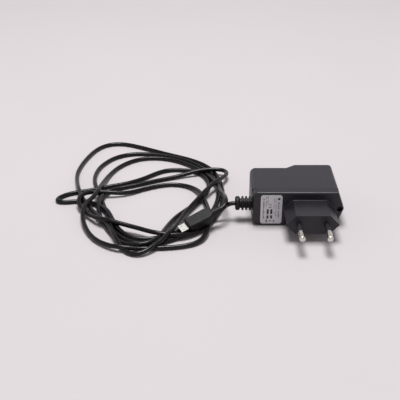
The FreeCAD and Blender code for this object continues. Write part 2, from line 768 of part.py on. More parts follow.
make_circuit_board()
make_transformer("24", "15")
input_cans = [can("input_capacitor_1", "37.4", "9.6"), can("input_capacitor_2", "37.4", "18.8")]
node(grouped("input_capacitors", *input_cans), "input_capacitors")
output_cans = [can("output_capacitor_1", "9.4", "12.8"), can("output_capacitor_2", "9.4", "22.2")]
node(grouped("output_capacitors", *output_cans), "output_capacitors")
diodes = [axial(f"rectifier_diode_{i}", x, y, "1.3", "5.2", "8")
          for i, (x, y) in enumerate((("43.2", "5"), ("46.6", "5"), ("43.2", "14.6"), ("46.6", "14.6")))]
node(grouped("rectifier_diodes", *diodes), "rectifier_diodes")
node(axial("fusible_resistor", "45.2", "21.8", "1.5", "5.4", "7.2", along_y=False), "fusible_resistor")
node(axial("clamp_diode", "38", "2.7", "1.3", "5.2", "7.6", along_y=False), "clamp_diode")
node(axial("output_diode", "2.6", "15.5", "1.8", "7.4", "11"), "output_diode")
drum("line_choke", "35", "25.4", "2.2", "7")
drum("output_choke", "11.6", "4", "2.5", "7")
disc("y_capacitor", "21.8", "25.4", "3.8", "2.8")
disc("clamp_capacitor", "29.6", "25.4", "2.4", "2.2")
chip("optocoupler", "24", "3.5", "6.5", "4.6", "3", 2)
chip("controller_chip", "33", "14", "4.9", "3.9", "1.4", 4, under=True)
chip("reference_chip", "16.8", "3.6", "4.4", "2.6", "3.6", 1)

PIN_END = "0 - stub_length + pin_inside"
MAINS_HOLES = ("30.4", "49.2")
mains_routes = []
for side, hole in zip((1, -1), MAINS_HOLES):
    pin_x = f"stub_middle - {side} * (pin_half_pitch + pin_inside * tan(pin_lean * 1 deg))"
    hole_x = f"{BOARD_LEFT} + {hole}"
    mains_routes.append([(pin_x, PIN_END, MIDDLE), (pin_x, f"{PIN_END} + 8", MIDDLE),
                         (f"({pin_x} + {hole_x}) / 2", "1", f"{MIDDLE} - 1"),
                         (hole_x, "board_front + 3", f"{BOARD_TOP} + 4.6"),
                         (hole_x, "board_front + 3", BOARD_TOP)])
wires("mains_leads", mains_routes)
RELIEF_END = "wall + fit_gap + flange_thick"
output_routes = []
for up, right in (("1", "1.6"), ("0 - 1", "0")):
    height = f"{MIDDLE} + {up}"
    hole_x = f"{BOARD_LEFT} + 5 + {right}"
    output_routes.append([(RELIEF_END, "relief_behind", height),
                          (f"{RELIEF_END} + 3", "relief_behind", height),
                          (hole_x, "board_front + 3", f"{BOARD_TOP} + 3"),
                          (hole_x, "board_front + 3", BOARD_TOP)])
wires("output_leads", output_routes)

# ---------------------------------------------------------------- cord

# Points from the strain relief's end: x and y from it, and z from the surface that the charger stands on.
LEAD_ROUTE = [(0, 0, 13), (-4.2, 0, 13), (-8.4, -0.6, 9.6), (-12.6, -2.4, 5.4), (-18, -5.8, 3.3),
              (-24.4, -11, 3.3)]
TAIL_ROUTE = [(-10.35, -8.81, 13.02), (-7.2, -7.28, 14), (-6.3, -3, 15.8), (-6.6, 3, 15.7),
              (-7.2, 10.4, 13.4), (-8.2, 18.5, 10.6), (-9.8, 27, 8)]
COIL_OUTLINE = [(-9, 24), (-4, 66), (-34, 96), (-62, 110), (-92, 118), (-116, 98), (-123, 58), (-129, 26),
                (-108, -8), (-96, -36), (-66, -52), (-28, -42), (-14, -12)]
COIL_EYE = (-62, 9)  # middle of the open space between the turns
COIL_EYE_RADII = (24, 22)
PLUG_TIP = (-38.0, -22.3, 4.2)
PLUG_TURN = FreeCAD.Rotation(26, -16, 10)
PLUG_ROOM = 0.4  # between the plug and the coil's slab


def at_exit(point):
    """A cord point in the part's own frame."""
    x, y, z = point
    exit_x = amount(f"{ORIGIN_X} - relief_length")
    exit_y = amount(f"{ORIGIN_Y} + relief_behind")
    return FreeCAD.Vector(exit_x + x, exit_y + y, z)


def coil_slab():
    outline = Part.BSplineCurve()
    outline.interpolate([at_exit((x, y, 0)) for x, y in COIL_OUTLINE], PeriodicFlag=True)
    edge = Part.Face(Part.Wire(outline.toShape()))
    eye = Part.Ellipse(at_exit(COIL_EYE + (0,)), *COIL_EYE_RADII).toShape()
    return edge.cut(Part.Face(Part.Wire(eye))).extrude(FreeCAD.Vector(0, 0, amount("coil_rise")))


def make_cord():
    radius = amount("cord_radius")
    lead = tube_along([at_exit(point) for point in LEAD_ROUTE], radius, "cord_lead")
    tail = tube_along([at_exit(point) for point in TAIL_ROUTE], radius, "cord_tail")
    length = amount("shell_reach + grip_length + grip_neck") + 2 * PLUG_ROOM
    width = amount("grip_width") + 2 * PLUG_ROOM
    thick = amount("grip_thick") + 2 * PLUG_ROOM
    plug_room = Part.makeBox(length, width, thick, FreeCAD.Vector(-PLUG_ROOM, -width / 2, -thick / 2))
    plug_room.Placement = FreeCAD.Placement(at_exit(PLUG_TIP), PLUG_TURN)
    room_above = plug_room.copy()
    room_above.translate(FreeCAD.Vector(0, 0, amount("coil_rise")))
    coil = coil_slab().cut(plug_room).cut(room_above).cut(lead).cut(tail)
    for label, shape in (("cord_lead", lead), ("cord_coil", coil), ("cord_tail", tail)):
        made = doc.addObject("Part::Feature", label)
        made.Shape = shape
        node(made, label)


make_cord()

# ---------------------------------------------------------------- the cord's small plug


def seat_in_plug(thing, label):
    """Place a piece drawn in the plug's own frame: origin at its metal tip, +X towards the cord."""
    thing.Placement = FreeCAD.Placement(at_exit(PLUG_TIP), PLUG_TURN)
    node(thing, label)


def corner_at(thing, x, y, z):
    bind(thing, Placement__Base__x=x, Placement__Base__y=y, Placement__Base__z=z)
    return thing


def plug_grip():
    """The moulded grip: tapered towards the shell, with a round neck for the cord."""
    grip = body("plug_overmould_body")
    back, half = "shell_reach + grip_length", "grip_width / 2"
    shoulder, root = f"{back} - grip_shoulder", "grip_neck_radius"
    outline = [("shell_reach", f"0 - {half} + grip_taper"), (shoulder, f"0 - {half}"), (back, f"0 - {root}"),
               (back, root), (shoulder, half), ("shell_reach", f"{half} - grip_taper")]
    pad(grip, "XY_Plane", outline, "grip_thick", start="0 - grip_thick / 2")
    fillet(grip, "grip_edge", lambda edge: True)
    neck = sketch_on(grip, "XY_Plane")
    draw_polygon(neck, [(f"{back} - grip_edge", "0"), (f"{back} - grip_edge", root),
                        (f"{back} + grip_neck", "grip_neck_end"), (f"{back} + grip_neck", "0")])
    doc.recompute()
    turn = grip.newObject("PartDesign::Revolution", "plug_neck")
    turn.Profile = neck
    turn.ReferenceAxis = (neck, ["H_Axis"])
    turn.Angle = 360
    doc.recompute()
    left, right = "0 - shell_width / 2", "shell_width / 2"
    front, end = "shell_reach - 1", "shell_reach + shell_hidden"
    pocket(grip, "XY_Plane", [(front, left), (end, left), (end, right), (front, right)], "shell_thick",
           start="0 - shell_thick / 2")
    return grip


def shell_mouth(inset):
    """Mouth of the folded shell: flat top, with its lower corners cut."""
    wide, tall = f"(shell_width / 2 - ({inset}))", f"(shell_thick / 2 - ({inset}))"
    cut_in, cut_up = f"{wide} - shell_corner_in", f"0 - {tall} + shell_corner_up"
    return [(f"0 - ({cut_in})", f"0 - {tall}"), (cut_in, f"0 - {tall}"), (wide, cut_up),
            (wide, tall), (f"0 - {wide}", tall), (f"0 - {wide}", cut_up)]


def make_plug():
    """Micro-size plug: moulded grip, folded shell, tongue, five contacts and two latches."""
    seat_in_plug(plug_grip(), "plug_overmould")

    shell = body("plug_shell_body")
    pad(shell, "YZ_Plane", shell_mouth("0"), "shell_reach + shell_hidden")
    pocket(shell, "YZ_Plane", shell_mouth("shell_sheet"), "shell_reach + shell_hidden - 1")
    seat_in_plug(shell, "plug_shell")

    floor = "(fit_gap / 4 + shell_sheet - shell_thick / 2)"
    tongue_width = "(shell_width - 2 * shell_sheet - 2 * tongue_gap)"
    tongue = block("plug_tongue_block", "shell_reach + shell_hidden - 1.6", tongue_width, "tongue_thick")
    corner_at(tongue, "0.6", f"0 - {tongue_width} / 2", floor)
    seat_in_plug(grouped("plug_tongue", tongue), "plug_tongue")

    contacts = []
    for i in range(-2, 3):
        strip = block(f"plug_contact_{i + 3}", "shell_reach + shell_hidden - 2.6", "contact_width",
                      "contact_thick")
        contacts.append(corner_at(strip, "0.8", f"{i} * contact_pitch - contact_width / 2",
                                  f"{floor} + tongue_thick + fit_gap / 10"))
    seat_in_plug(grouped("plug_contacts", *contacts), "plug_contacts")

    latches = []
    for side in (-1, 1):
        hook = block(f"plug_latch_{side + 2}", "latch_length", "latch_width", "latch_height")
        latches.append(corner_at(hook, "latch_at", f"{side} * latch_offset - latch_width / 2",
                                 "shell_thick / 2"))
    seat_in_plug(grouped("plug_latches", *latches), "plug_latches")


make_plug()

# ---------------------------------------------------------------- check and write


def check(thing):
    for problem in ("Invalid", "Error"):
        if problem in thing.State:
            sys.exit(f"{thing.Label} is {problem}")


doc.recompute()
for thing in doc.Objects:
    check(thing)
for label, thing in NODES.items():
    shape = thing.Shape
    if shape.isNull() or not shape.isValid() or not shape.Solids:
        sys.exit(f"{label}: its shape is not a valid solid")
os.makedirs("parts", exist_ok=True)
for label, thing in NODES.items():
    thing.Shape.exportStep(os.path.join("parts", f"{label}.step"))
print(len(NODES), "nodes")
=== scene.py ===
"""Looks of the plug-in mains charger: its finishes, its coiled cord, its label's print and the stage.

Laid out as an add-on and run as a script. Metres; +Z is up and the plug pins point along -Y.
"""

import math
import random

import bmesh
import bpy
import numpy as np
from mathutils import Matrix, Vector


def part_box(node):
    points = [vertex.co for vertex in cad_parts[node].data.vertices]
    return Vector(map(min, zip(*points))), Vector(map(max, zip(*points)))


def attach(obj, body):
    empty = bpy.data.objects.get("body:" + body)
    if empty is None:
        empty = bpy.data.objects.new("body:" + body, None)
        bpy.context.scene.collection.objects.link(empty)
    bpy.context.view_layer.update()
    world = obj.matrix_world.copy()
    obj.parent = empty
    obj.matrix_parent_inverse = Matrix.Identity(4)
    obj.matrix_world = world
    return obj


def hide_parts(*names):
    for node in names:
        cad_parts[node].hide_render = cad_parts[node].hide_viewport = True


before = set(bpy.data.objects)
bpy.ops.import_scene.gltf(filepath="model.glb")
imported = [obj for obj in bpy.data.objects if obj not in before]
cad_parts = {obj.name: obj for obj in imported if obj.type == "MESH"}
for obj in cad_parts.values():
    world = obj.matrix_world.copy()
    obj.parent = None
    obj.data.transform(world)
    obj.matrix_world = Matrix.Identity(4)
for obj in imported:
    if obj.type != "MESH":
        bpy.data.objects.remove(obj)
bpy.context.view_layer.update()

bl_info = {
    "name": "Mains charger",
    "version": (1, 0, 0),
    "blender": (4, 5, 0),
    "location": "3D View > Sidebar > Charger",
    "description": "Finishes, cord, label print and stage of a plug-in mains charger",
    "category": "Object",
}

MM = 0.001

# A colour mix has its factor and its two colours at these sockets, and its result at this output.
FACTOR, FIRST, SECOND = 0, 6, 7
MIXED = 2
# A noise texture's values mostly lie between these, so a range from one to the other shows all of them.
NOISE_LOW, NOISE_HIGH = 0.3, 0.7
# At a scale of 1 a wave texture's bands are this far apart, in metres.
WAVE_SPACING = 2 * math.pi / 20

# ---------------------------------------------------------------- settings


class CaseSettings(bpy.types.PropertyGroup):
    """The two moulded shells and the plug stub."""
    colour: bpy.props.StringProperty(
        name="Colour", description="Plastic's colour, as sRGB hex", default="16131a")
    roughness: bpy.props.FloatProperty(
        name="Roughness", description="Of the spark-eroded mould texture", default=0.4, min=0, max=1,
        subtype="FACTOR")
    grain: bpy.props.FloatProperty(
        name="Grain", description="Width of one pit of the mould texture", default=0.35 * MM,
        unit="LENGTH")


class LabelSettings(bpy.types.PropertyGroup):
    """The rating label and its print."""
    film_colour: bpy.props.StringProperty(
        name="Film", description="Silver film's colour, as sRGB hex", default="c4c3c6")
    ink_colour: bpy.props.StringProperty(
        name="Ink", description="Print's colour, as sRGB hex", default="1f1d21")
    ink_lift: bpy.props.FloatProperty(
        name="Ink thickness", description="How far the ink stands on the film", default=0.02 * MM,
        unit="LENGTH")


class PinSettings(bpy.types.PropertyGroup):
    """The plug's two pins and their sleeves."""
    plate_colour: bpy.props.StringProperty(
        name="Plate", description="Nickel plate's colour, as sRGB hex", default="d8d2c8")
    sleeve_colour: bpy.props.StringProperty(
        name="Sleeve", description="Sleeve's colour, as sRGB hex", default="1d1b1e")


class CordSettings(bpy.types.PropertyGroup):
    """The free cord, from the strain relief to its small plug."""
    diameter: bpy.props.FloatProperty(
        name="Diameter", description="Cord's outside diameter", default=3.2 * MM, unit="LENGTH")
    colour: bpy.props.StringProperty(
        name="Colour", description="PVC's colour, as sRGB hex", default="0c090b")
    spacing: bpy.props.FloatProperty(
        name="Spacing", description="Between points while the turns settle", default=2.5 * MM,
        unit="LENGTH")


class StageSettings(bpy.types.PropertyGroup):
    """Floor, lamp, room and camera."""
    floor_colour: bpy.props.StringProperty(
        name="Floor", description="Floor's colour, as sRGB hex", default="b8b2b4")
    lamp_power: bpy.props.FloatProperty(
        name="Lamp", description="Power of the soft lamp above the charger", default=44.0, unit="POWER")
    walls: bpy.props.FloatProperty(
        name="Walls", description="Brightness of the room's walls", default=0.78)
    ceiling: bpy.props.FloatProperty(
        name="Ceiling", description="Brightness of the room's ceiling", default=0.25)
    camera_place: bpy.props.FloatVectorProperty(
        name="Camera", description="Camera's place", default=(-0.0678, -0.485, 0.279),
        subtype="TRANSLATION")
    camera_pitch: bpy.props.FloatProperty(
        name="Pitch", description="How far the camera looks down", default=math.radians(28.2),
        subtype="ANGLE")
    lens: bpy.props.FloatProperty(
        name="Lens", description="Focal length on a 36 mm sensor", default=72.0)


SETTINGS = {"charger_case": CaseSettings, "charger_label": LabelSettings, "charger_pins": PinSettings,
            "charger_cord": CordSettings, "charger_stage": StageSettings}

# ---------------------------------------------------------------- making materials


def linear(colour):
    """An sRGB hex colour as linear RGBA."""
    channels = [int(colour[i:i + 2], 16) / 255 for i in (0, 2, 4)]
    return [c / 12.92 if c <= 0.04045 else ((c + 0.055) / 1.055) ** 2.4 for c in channels] + [1.0]


def add(tree, kind, sockets=(), **settings):
    """Add a node; each socket takes a value or a (node, output) link."""
    made = tree.nodes.new(kind)
    for name, value in settings.items():
        setattr(made, name, value)
    for socket, value in dict(sockets).items():
        if isinstance(value, tuple) and isinstance(value[0], bpy.types.Node):
            tree.links.new(value[0].outputs[value[1]], made.inputs[socket])
        else:
            made.inputs[socket].default_value = value
    return made


def shaded(colour, share):
    """The colour made darker or lighter by a share."""
    return [channel * share for channel in colour[:3]] + [1.0]


def blank(name):
    """A new material with an empty node tree; returns both."""
    material = bpy.data.materials.new(name)
    material.use_nodes = True
    material.node_tree.nodes.clear()
    return material, material.node_tree


def moulded_abs(case):
    """Black ABS, injection moulded in a spark-eroded mould: an even satin skin of very fine pits."""
    material, tree = blank("moulded_abs")
    place = add(tree, "ShaderNodeTexCoord")
    # the real pits are about 0.1 mm wide; they are drawn at the width in the settings to show at all
    pits = add(tree, "ShaderNodeTexNoise", {
        "Vector": (place, "Object"), "Scale": 1 / case.grain, "Detail": 3.0})
    # 14 mm clouds of thinner and thicker gloss, where the skin cooled unevenly and hands rubbed it
    clouds = add(tree, "ShaderNodeTexNoise", {
        "Vector": (place, "Object"), "Scale": 1 / (14 * MM), "Detail": 3.0})
    gloss = add(tree, "ShaderNodeMapRange", {
        "Value": (clouds, "Fac"), "From Min": NOISE_LOW, "From Max": NOISE_HIGH,
        "To Min": case.roughness - 0.04, "To Max": case.roughness + 0.05})
    fine = add(tree, "ShaderNodeMapRange", {"Value": (pits, "Fac"), "From Min": 0.35, "From Max": 0.65})
    base = linear(case.colour)
    colour = add(tree, "ShaderNodeMix", {FACTOR: (fine, "Result"), FIRST: shaded(base, 0.86),
                                         SECOND: shaded(base, 1.14)}, data_type="RGBA")
    bump = add(tree, "ShaderNodeBump", {"Height": (pits, "Fac"), "Distance": 0.02 * MM, "Strength": 0.5})
    shader = add(tree, "ShaderNodeBsdfPrincipled", {
        "Base Color": (colour, MIXED), "Roughness": (gloss, "Result"), "IOR": 1.48,
        "Normal": (bump, "Normal")})
    add(tree, "ShaderNodeOutputMaterial", {"Surface": (shader, "BSDF")})
    return material


def metallised_film(label):
    """Silver polyester film under a clear laminate: pale, a little metallic, faintly wavy."""
    material, tree = blank("metallised_polyester_film")
    place = add(tree, "ShaderNodeTexCoord")
    waves = add(tree, "ShaderNodeTexNoise", {
        "Vector": (place, "Object"), "Scale": 1 / (5 * MM), "Detail": 1.0})
    flake = add(tree, "ShaderNodeTexNoise", {
        "Vector": (place, "Object"), "Scale": 1 / (0.4 * MM), "Detail": 2.0})
    tone = add(tree, "ShaderNodeMapRange", {
        "Value": (flake, "Fac"), "From Min": NOISE_LOW, "From Max": NOISE_HIGH})
    base = linear(label.film_colour)
    colour = add(tree, "ShaderNodeMix", {
        FACTOR: (tone, "Result"), FIRST: shaded(base, 0.9), SECOND: base}, data_type="RGBA")
    bump = add(tree, "ShaderNodeBump", {
        "Height": (waves, "Fac"), "Distance": 0.06 * MM, "Strength": 0.4})
    shader = add(tree, "ShaderNodeBsdfPrincipled", {
        "Base Color": (colour, MIXED), "Metallic": 0.15, "Roughness": 0.36, "IOR": 1.6,
        "Normal": (bump, "Normal")})
    add(tree, "ShaderNodeOutputMaterial", {"Surface": (shader, "BSDF")})
    return material


def screen_ink(label):
    """Dark screen-printed ink: matt, a little thin in spots so that the film shows through."""
    material, tree = blank("screen_printed_ink")
    place = add(tree, "ShaderNodeTexCoord")
    spots = add(tree, "ShaderNodeTexNoise", {
        "Vector": (place, "Object"), "Scale": 1 / (0.3 * MM), "Detail": 2.0})
    thin = add(tree, "ShaderNodeMapRange", {"Value": (spots, "Fac"), "From Min": 0.5, "From Max": 0.8,
                                            "To Max": 0.2})
    colour = add(tree, "ShaderNodeMix", {FACTOR: (thin, "Result"), FIRST: linear(label.ink_colour),
                                         SECOND: linear(label.film_colour)}, data_type="RGBA")
    shader = add(tree, "ShaderNodeBsdfPrincipled", {
        "Base Color": (colour, MIXED), "Roughness": 0.55, "IOR": 1.5})
    add(tree, "ShaderNodeOutputMaterial", {"Surface": (shader, "BSDF")})
    return material


def nickel_plated_brass(pins):
    """Turned brass with bright nickel plate: mirror-like, with faint rings left by the lathe."""
    material, tree = blank("nickel_plated_turned_brass")
    place = add(tree, "ShaderNodeTexCoord")
    # tool marks are about 0.05 mm apart on the real pin; they are drawn 1.9 mm apart to show at all
    rings = add(tree, "ShaderNodeTexWave", {
        "Vector": (place, "Object"), "Scale": WAVE_SPACING / (1.885 * MM), "Distortion": 1.0,
        "Detail": 1.0}, bands_direction="Y")
    smears = add(tree, "ShaderNodeTexNoise", {
        "Vector": (place, "Object"), "Scale": 1 / (2 * MM), "Detail": 3.0})
    gloss = add(tree, "ShaderNodeMapRange", {
        "Value": (smears, "Fac"), "From Min": NOISE_LOW, "From Max": NOISE_HIGH, "To Min": 0.16,
        "To Max": 0.3})
    bump = add(tree, "ShaderNodeBump", {
        "Height": (rings, "Fac"), "Distance": 0.01 * MM, "Strength": 0.5})
    shader = add(tree, "ShaderNodeBsdfPrincipled", {
        "Base Color": linear(pins.plate_colour), "Metallic": 1.0, "Roughness": (gloss, "Result"),
        "Normal": (bump, "Normal")})
    add(tree, "ShaderNodeOutputMaterial", {"Surface": (shader, "BSDF")})
    return material


def moulded_nylon(pins):
    """Black nylon moulded round the pins: smoother than the case, with a soft low gloss."""
    material, tree = blank("moulded_nylon")
    place = add(tree, "ShaderNodeTexCoord")
    flow = add(tree, "ShaderNodeTexNoise", {
        "Vector": (place, "Object"), "Scale": 1 / (1.5 * MM), "Detail": 3.0})
    gloss = add(tree, "ShaderNodeMapRange", {
        "Value": (flow, "Fac"), "From Min": NOISE_LOW, "From Max": NOISE_HIGH, "To Min": 0.34,
        "To Max": 0.46})
    bump = add(tree, "ShaderNodeBump", {"Height": (flow, "Fac"), "Distance": 0.03 * MM, "Strength": 0.4})
    shader = add(tree, "ShaderNodeBsdfPrincipled", {
        "Base Color": linear(pins.sleeve_colour), "Roughness": (gloss, "Result"), "IOR": 1.53,
        "Normal": (bump, "Normal")})
    add(tree, "ShaderNodeOutputMaterial", {"Surface": (shader, "BSDF")})
    return material


def screw_steel_as_hole_shade():
    """Screw steel, painted nearly black as the shade of the deep hole it sits in; dull and speckled with
    fine crystals.
    """
    material, tree = blank("screw_steel_painted_as_hole_shade")
    place = add(tree, "ShaderNodeTexCoord")
    crystals = add(tree, "ShaderNodeTexVoronoi", {"Vector": (place, "Object"), "Scale": 1 / (0.2 * MM)})
    # painted shade: both tones are near black so that the screw looks like the dark hole around it
    colour = add(tree, "ShaderNodeMix", {
        FACTOR: (crystals, "Distance"), FIRST: linear("1b1b1d"),
        SECOND: linear("38373a")}, data_type="RGBA")
    shader = add(tree, "ShaderNodeBsdfPrincipled", {
        "Base Color": (colour, MIXED), "Metallic": 0.7, "Roughness": 0.5})
    add(tree, "ShaderNodeOutputMaterial", {"Surface": (shader, "BSDF")})
    return material


def extruded_pvc(cord):
    """Black PVC sheath drawn through a die: smooth, half glossy, softly rippled and a little dusty."""
    material, tree = blank("extruded_pvc")
    place = add(tree, "ShaderNodeTexCoord")
    ripple = add(tree, "ShaderNodeTexNoise", {
        "Vector": (place, "Object"), "Scale": 1 / (3 * MM), "Detail": 2.0})
    dust = add(tree, "ShaderNodeTexNoise", {
        "Vector": (place, "Object"), "Scale": 1 / (0.5 * MM), "Detail": 4.0, "Roughness": 0.7})
    specks = add(tree, "ShaderNodeMapRange", {"Value": (dust, "Fac"), "From Min": 0.55, "From Max": 0.8,
                                             "To Max": 0.04})
    colour = add(tree, "ShaderNodeMix", {
        FACTOR: (specks, "Result"), FIRST: linear(cord.colour),
        SECOND: linear("8d868c")}, data_type="RGBA")
    gloss = add(tree, "ShaderNodeMapRange", {
        "Value": (ripple, "Fac"), "From Min": NOISE_LOW, "From Max": NOISE_HIGH, "To Min": 0.2,
        "To Max": 0.3})
    bump = add(tree, "ShaderNodeBump", {
        "Height": (ripple, "Fac"), "Distance": 0.05 * MM, "Strength": 0.5})
    shader = add(tree, "ShaderNodeBsdfPrincipled", {
        "Base Color": (colour, MIXED), "Roughness": (gloss, "Result"), "IOR": 1.53,
        "Specular IOR Level": 0.25, "Normal": (bump, "Normal")})
    add(tree, "ShaderNodeOutputMaterial", {"Surface": (shader, "BSDF")})
    return material


def moulded_pvc(cord):
    """Soft black PVC moulded over the cord's ends: matt, faintly orange-peeled."""
    material, tree = blank("moulded_pvc")
    place = add(tree, "ShaderNodeTexCoord")
    peel = add(tree, "ShaderNodeTexNoise", {
        "Vector": (place, "Object"), "Scale": 1 / (0.6 * MM), "Detail": 3.0})
    clouds = add(tree, "ShaderNodeTexNoise", {
        "Vector": (place, "Object"), "Scale": 1 / (5 * MM), "Detail": 2.0})
    gloss = add(tree, "ShaderNodeMapRange", {
        "Value": (clouds, "Fac"), "From Min": NOISE_LOW, "From Max": NOISE_HIGH, "To Min": 0.46,
        "To Max": 0.58})
    base = linear(cord.colour)
    colour = add(tree, "ShaderNodeMix", {FACTOR: (peel, "Fac"), FIRST: shaded(base, 0.9),
                                         SECOND: shaded(base, 1.25)}, data_type="RGBA")
    bump = add(tree, "ShaderNodeBump", {"Height": (peel, "Fac"), "Distance": 0.03 * MM, "Strength": 0.5})
    shader = add(tree, "ShaderNodeBsdfPrincipled", {
        "Base Color": (colour, MIXED), "Roughness": (gloss, "Result"), "IOR": 1.53,
        "Specular IOR Level": 0.25, "Normal": (bump, "Normal")})
    add(tree, "ShaderNodeOutputMaterial", {"Surface": (shader, "BSDF")})
    return material


def tinned_steel():
    """Stamped steel sheet with bright tin plate: silver with fine rolling lines."""
    material, tree = blank("tin_plated_stamped_steel")
    place = add(tree, "ShaderNodeTexCoord")
    # rolling lines are far finer than 0.1 mm; they are drawn 0.25 mm apart
    drawn = add(tree, "ShaderNodeMapping", {"Vector": (place, "Object"), "Scale": [1.0, 8.0, 8.0]})
    lines = add(tree, "ShaderNodeTexNoise", {
        "Vector": (drawn, "Vector"), "Scale": 1 / (2 * MM), "Detail": 3.0})
    gloss = add(tree, "ShaderNodeMapRange", {
        "Value": (lines, "Fac"), "From Min": NOISE_LOW, "From Max": NOISE_HIGH, "To Min": 0.36,
        "To Max": 0.5})
    shader = add(tree, "ShaderNodeBsdfPrincipled", {
        "Base Color": linear("a09e9a"), "Metallic": 1.0, "Roughness": (gloss, "Result")})
    add(tree, "ShaderNodeOutputMaterial", {"Surface": (shader, "BSDF")})
    return material


def moulded_polymer(name, dark, light, roughness, grain):
    """A small moulded or cast polymer part: one tone, mottled at its filler's grain size."""
    material, tree = blank(name)
    place = add(tree, "ShaderNodeTexCoord")
    filler = add(tree, "ShaderNodeTexNoise", {
        "Vector": (place, "Object"), "Scale": 1 / grain, "Detail": 3.0})
    tone = add(tree, "ShaderNodeMapRange", {
        "Value": (filler, "Fac"), "From Min": NOISE_LOW, "From Max": NOISE_HIGH})
    colour = add(tree, "ShaderNodeMix", {
        FACTOR: (tone, "Result"), FIRST: linear(dark), SECOND: linear(light)}, data_type="RGBA")
    bump = add(tree, "ShaderNodeBump", {
        "Height": (filler, "Fac"), "Distance": 0.02 * MM, "Strength": 0.4})
    shader = add(tree, "ShaderNodeBsdfPrincipled", {
        "Base Color": (colour, MIXED), "Roughness": roughness, "IOR": 1.55, "Normal": (bump, "Normal")})
    add(tree, "ShaderNodeOutputMaterial", {"Surface": (shader, "BSDF")})
    return material


def gold_plate():
    """Thin gold over nickel on stamped contacts: warm, bright, slightly patchy."""
    material, tree = blank("gold_plated_contact")
    place = add(tree, "ShaderNodeTexCoord")
    patches = add(tree, "ShaderNodeTexNoise", {
        "Vector": (place, "Object"), "Scale": 1 / MM, "Detail": 2.0})
    colour = add(tree, "ShaderNodeMix", {
        FACTOR: (patches, "Fac"), FIRST: linear("d7ae4e"), SECOND: linear("ecca74")}, data_type="RGBA")
    shader = add(tree, "ShaderNodeBsdfPrincipled", {
        "Base Color": (colour, MIXED), "Metallic": 1.0, "Roughness": 0.22})
    add(tree, "ShaderNodeOutputMaterial", {"Surface": (shader, "BSDF")})
    return material


def phenolic_laminate():
    """Paper-phenolic board: tan and fibrous, with darker tracks showing through the lacquer."""
    material, tree = blank("paper_phenolic_laminate")
    place = add(tree, "ShaderNodeTexCoord")
    fibre = add(tree, "ShaderNodeTexNoise", {
        "Vector": (place, "Object"), "Scale": 1 / (0.5 * MM), "Detail": 4.0})
    tracks = add(tree, "ShaderNodeTexBrick", {
        "Vector": (place, "Object"), "Color1": linear("a9713a"), "Color2": linear("b98249"),
        "Mortar": linear("c79a5e"), "Scale": 1 / (4 * MM), "Mortar Size": 0.12, "Brick Width": 2.2,
        "Row Height": 0.6})
    colour = add(tree, "ShaderNodeMix", {
        FACTOR: (fibre, "Fac"), FIRST: (tracks, "Color"), SECOND: linear("c0915a")}, data_type="RGBA")
    shader = add(tree, "ShaderNodeBsdfPrincipled", {
        "Base Color": (colour, MIXED), "Roughness": 0.42, "IOR": 1.55})
    add(tree, "ShaderNodeOutputMaterial", {"Surface": (shader, "BSDF")})
    return material


def banded_resistor():
    """Lacquered fusible resistor: pale green body with painted rings about 6 mm apart."""
    material, tree = blank("lacquered_resistor")
    place = add(tree, "ShaderNodeTexCoord")
    rings = add(tree, "ShaderNodeTexWave", {
        "Vector": (place, "Object"),
        "Scale": WAVE_SPACING / (6.283 * MM)}, bands_direction="X", wave_profile="SIN")
    edge = add(tree, "ShaderNodeMath", {0: (rings, "Fac"), 1: 0.75}, operation="GREATER_THAN")
    colour = add(tree, "ShaderNodeMix", {
        FACTOR: (edge, "Value"), FIRST: linear("9fb59a"), SECOND: linear("7a3b26")}, data_type="RGBA")
    shader = add(tree, "ShaderNodeBsdfPrincipled", {
        "Base Color": (colour, MIXED), "Roughness": 0.3, "IOR": 1.5})
    add(tree, "ShaderNodeOutputMaterial", {"Surface": (shader, "BSDF")})
    return material


def enamelled_copper():
    """Layers of thin enamelled copper wire: warm, glossy, ribbed at the wire's pitch, with painted shade
    in the grooves between turns and painted highlights on their tops.
    """
    material, tree = blank("enamelled_copper_wire_painted_shade")
    place = add(tree, "ShaderNodeTexCoord")
    # the wire is 0.2 mm thick; its turns are drawn 2.5 mm apart to show at all
    turns = add(tree, "ShaderNodeTexWave", {
        "Vector": (place, "Object"), "Scale": WAVE_SPACING / (2.513 * MM), "Distortion": 0.6},
        bands_direction="Y")
    # painted light: the dark bands are painted shade in the grooves between turns, the light bands
    # painted highlights on their tops
    colour = add(tree, "ShaderNodeMix", {
        FACTOR: (turns, "Fac"), FIRST: linear("7c3414"), SECOND: linear("c8743a")}, data_type="RGBA")
    bump = add(tree, "ShaderNodeBump", {"Height": (turns, "Fac"), "Distance": 0.15 * MM})
    shader = add(tree, "ShaderNodeBsdfPrincipled", {
        "Base Color": (colour, MIXED), "Metallic": 0.85, "Roughness": 0.28, "Normal": (bump, "Normal")})
    add(tree, "ShaderNodeOutputMaterial", {"Surface": (shader, "BSDF")})
    return material


def wrapped_tape():
    """Yellow polyester tape wound on the transformer: glossy, creased every few millimetres."""
    material, tree = blank("polyester_tape")
    place = add(tree, "ShaderNodeTexCoord")
    creases = add(tree, "ShaderNodeTexNoise", {"Vector": (place, "Object"), "Scale": 1 / (2 * MM),
                                              "Distortion": 1.5})
    colour = add(tree, "ShaderNodeMix", {
        FACTOR: (creases, "Fac"), FIRST: linear("c9a227"), SECOND: linear("e6c95c")}, data_type="RGBA")
    bump = add(tree, "ShaderNodeBump", {
        "Height": (creases, "Fac"), "Distance": 0.2 * MM, "Strength": 0.5})
    shader = add(tree, "ShaderNodeBsdfPrincipled", {
        "Base Color": (colour, MIXED), "Roughness": 0.25, "IOR": 1.6, "Normal": (bump, "Normal")})
    add(tree, "ShaderNodeOutputMaterial", {"Surface": (shader, "BSDF")})
    return material


